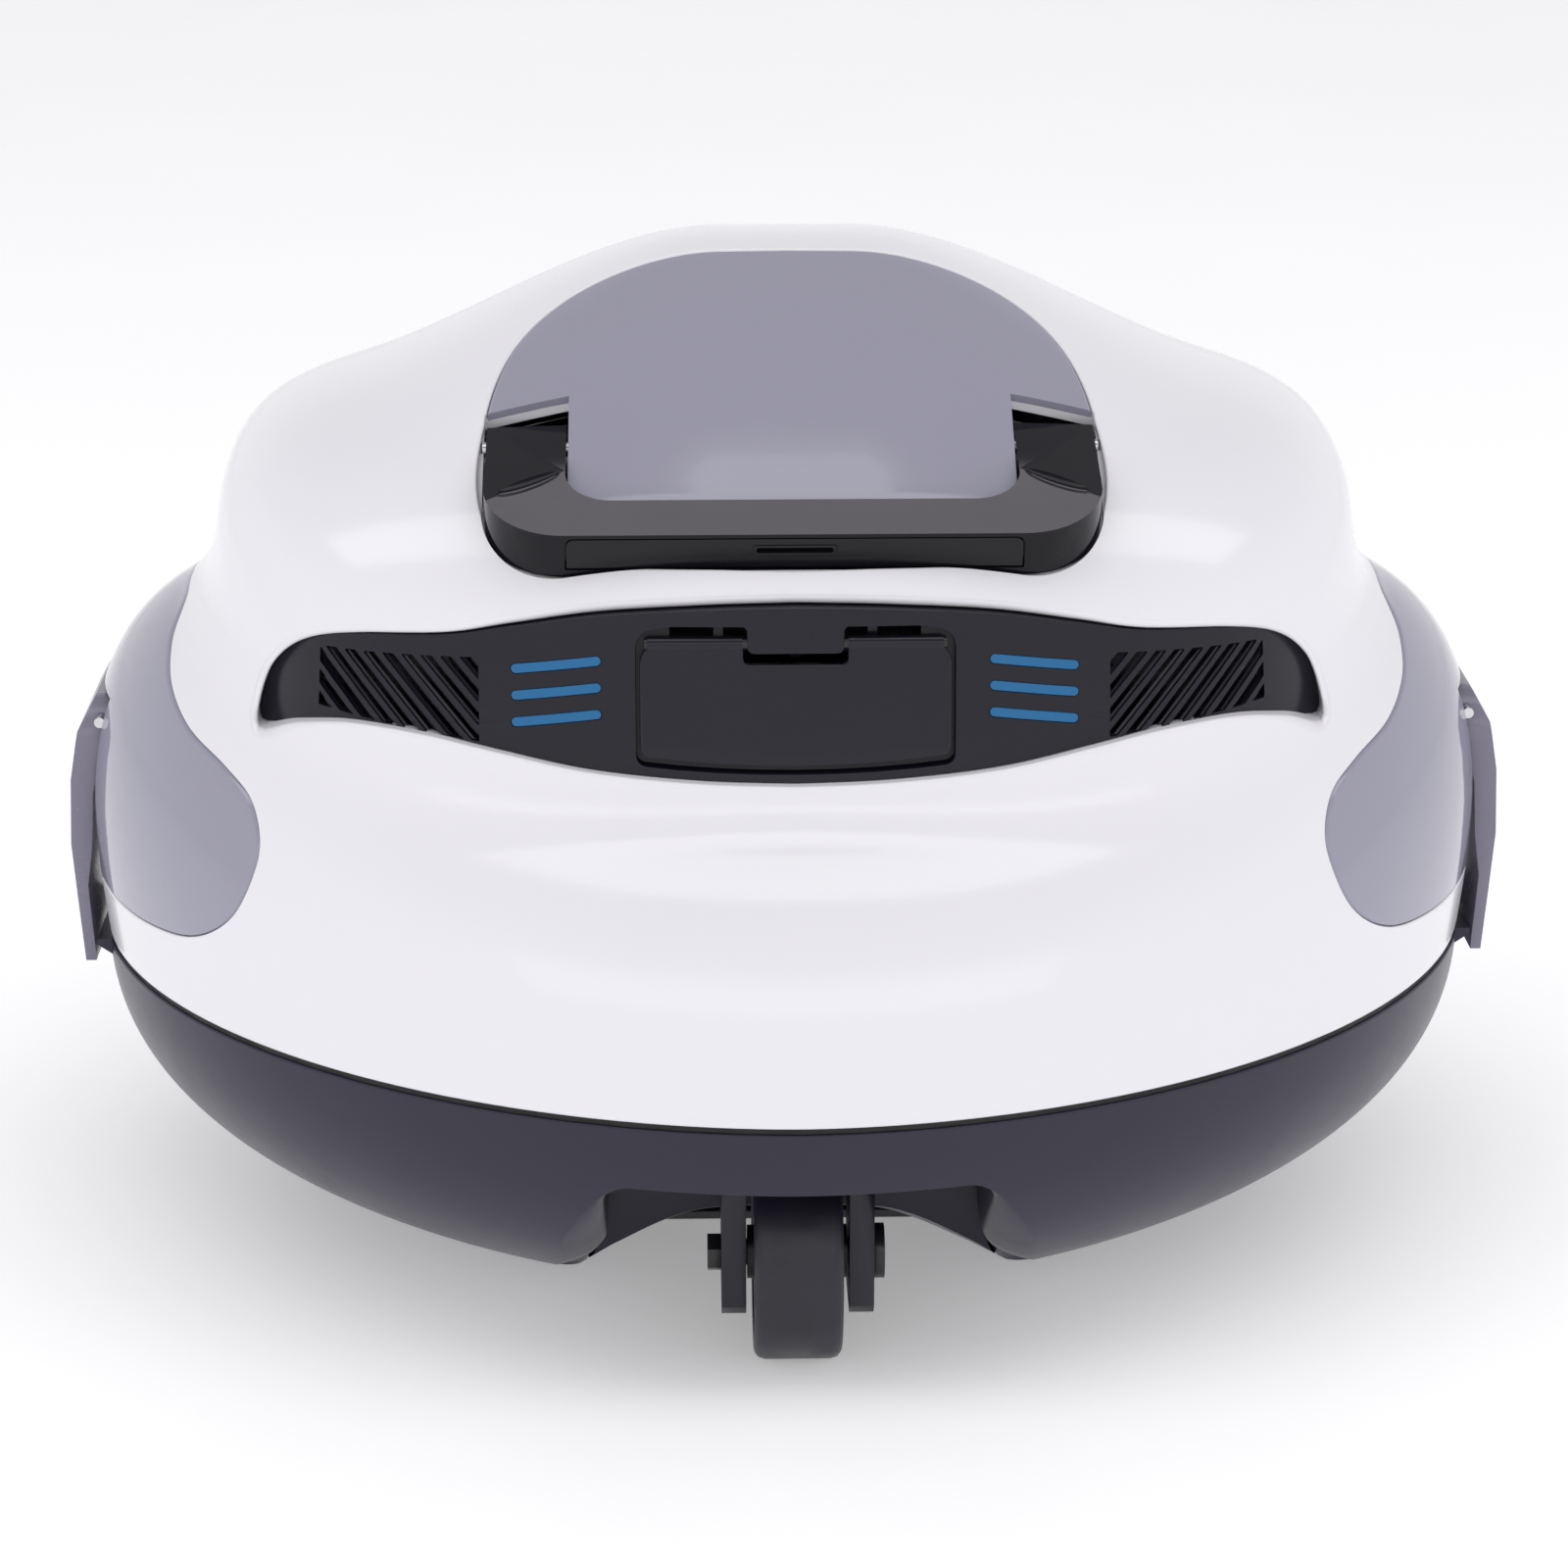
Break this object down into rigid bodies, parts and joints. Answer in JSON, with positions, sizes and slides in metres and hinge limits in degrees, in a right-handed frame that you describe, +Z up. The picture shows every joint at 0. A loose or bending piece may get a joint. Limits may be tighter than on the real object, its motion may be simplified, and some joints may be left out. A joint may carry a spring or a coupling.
{
  "type": "robotic pool cleaner",
  "caption": "Cordless domed pool cleaner with a swing-up carry handle, jet outlets with flaps, side latches and steering wheels.",
  "frame": {"origin": "centre of the footprint on the ground under the wheels", "axes": "+Z up, front with the handle toward -Y, +X to the right seen from the front"},
  "size_m": [0.4, 0.347, 0.273],
  "materials": {
    "white_shell": "gloss moulded",
    "smoke_panel": "gloss tinted",
    "black_gloss": "piano black",
    "black_satin": "satin",
    "light_bar": "satin tinted",
    "steel": "brushed",
    "motor_case": "drawn steel",
    "grip_rubber": "matte",
    "gasket": "matte",
    "latch_grey": "satin",
    "inner_plastic": "moulded",
    "impeller_plastic": "moulded",
    "battery_wrap": "shrink wrap",
    "control_case": "potted case",
    "hull_charcoal": "satin moulded",
    "filter_plastic": "moulded",
    "hub_plastic": "moulded",
    "tyre_rubber": "satin",
    "fork_plastic": "satin moulded",
    "bolt_black": "satin"
  },
  "bodies": {
    "hull": {"lower_hull": "hull_charcoal", "waist_gasket": "gasket", "latch_keepers": "hull_charcoal", "intake_plate": "inner_plastic", "wiper_strips": "grip_rubber", "filter_tray": "filter_plastic", "filter_screen": "filter_plastic", "hull_screws": "steel", "wheel_axles": "steel", "front_swivel_ring": "steel", "rear_swivel_ring": "steel"},
    "cover": {"top_cover": "white_shell", "top_window": "smoke_panel", "side_panel_left": "smoke_panel", "side_panel_right": "smoke_panel", "front_fascia": "black_satin", "rear_fascia": "black_satin", "front_light_bars": "light_bar", "rear_light_bars": "light_bar", "front_flap_pin": "steel", "rear_flap_pin": "steel", "handle_pins": "steel", "latch_pins": "steel", "button_bezel": "black_satin", "charge_socket": "black_satin", "cover_screws": "steel", "pump_base": "inner_plastic", "inlet_grille": "inner_plastic", "pump_housing": "inner_plastic", "jet_duct": "inner_plastic", "motor": "motor_case", "motor_flange": "inner_plastic", "battery_left": "battery_wrap", "battery_right": "battery_wrap", "control_box": "control_case"},
    "handle": {"handle_bar": "black_gloss", "handle_grip": "grip_rubber"},
    "front_flap": {"front_flap": "black_satin"},
    "rear_flap": {"rear_flap": "black_satin"},
    "latch_left": {"latch_left": "latch_grey"},
    "latch_right": {"latch_right": "latch_grey"},
    "button": {"power_button": "latch_grey"},
    "charge_cap": {"charge_cap": "grip_rubber"},
    "impeller": {"impeller": "impeller_plastic", "drive_shaft": "steel"},
    "wheel_left": {"wheel_hub_left": "hub_plastic", "wheel_tyre_left": "tyre_rubber"},
    "wheel_right": {"wheel_hub_right": "hub_plastic", "wheel_tyre_right": "tyre_rubber"},
    "front_fork": {"front_fork": "fork_plastic", "front_axle_bolt": "bolt_black"},
    "rear_fork": {"rear_fork": "fork_plastic", "rear_axle_bolt": "bolt_black"},
    "front_caster": {"front_caster_hub": "hub_plastic", "front_caster_tyre": "tyre_rubber"},
    "rear_caster": {"rear_caster_hub": "hub_plastic", "rear_caster_tyre": "tyre_rubber"}
  },
  "joints": [
    {"name": "cover_lift", "type": "slide", "parent": "hull", "child": "cover", "axis": [0, 0, 1], "range_m": [0, 0.15]},
    {"name": "handle_swing", "type": "hinge", "parent": "cover", "child": "handle", "pos_m": [0, -0.0704, 0.228], "axis": [-1, 0, 0], "range_deg": [0, 80]},
    {"name": "front_flap_swing", "type": "hinge", "parent": "cover", "child": "front_flap", "pos_m": [0, -0.12084, 0.1894], "axis": [-1, 0, 0], "range_deg": [0, 60]},
    {"name": "rear_flap_swing", "type": "hinge", "parent": "cover", "child": "rear_flap", "pos_m": [0, 0.12084, 0.1894], "axis": [1, 0, 0], "range_deg": [0, 60]},
    {"name": "latch_right_swing", "type": "hinge", "parent": "cover", "child": "latch_right", "pos_m": [0.19, 0, 0.141], "axis": [0, -1, 0], "range_deg": [0, 70]},
    {"name": "latch_left_swing", "type": "hinge", "parent": "cover", "child": "latch_left", "pos_m": [-0.19, 0, 0.141], "axis": [0, 1, 0], "range_deg": [0, 70]},
    {"name": "button_press", "type": "slide", "parent": "cover", "child": "button", "axis": [0, -0.454, -0.891], "range_m": [0, 0.0015], "stiffness_N_per_m": 400},
    {"name": "charge_cap_swing", "type": "hinge", "parent": "cover", "child": "charge_cap", "pos_m": [-0.024, 0.07551, 0.24286], "axis": [-1, 0, 0], "range_deg": [0, 110]},
    {"name": "impeller_spin", "type": "hinge", "parent": "cover", "child": "impeller", "pos_m": [0, 0, 0.11], "axis": [0, 0, 1], "continuous": true},
    {"name": "wheel_left_spin", "type": "hinge", "parent": "hull", "child": "wheel_left", "pos_m": [-0.104, 0, 0.03], "axis": [1, 0, 0], "continuous": true},
    {"name": "wheel_right_spin", "type": "hinge", "parent": "hull", "child": "wheel_right", "pos_m": [0.104, 0, 0.03], "axis": [1, 0, 0], "continuous": true},
    {"name": "front_fork_steer", "type": "hinge", "parent": "hull", "child": "front_fork", "pos_m": [0, -0.135, 0.06], "axis": [0, 0, 1], "range_deg": [-25, 25]},
    {"name": "front_caster_spin", "type": "hinge", "parent": "front_fork", "child": "front_caster", "pos_m": [0, -0.135, 0.028], "axis": [1, 0, 0], "continuous": true},
    {"name": "rear_fork_steer", "type": "hinge", "parent": "hull", "child": "rear_fork", "pos_m": [0, 0.135, 0.06], "axis": [0, 0, 1], "range_deg": [-25, 25]},
    {"name": "rear_caster_spin", "type": "hinge", "parent": "rear_fork", "child": "rear_caster", "pos_m": [0, 0.135, 0.028], "axis": [1, 0, 0], "continuous": true}
  ]
}
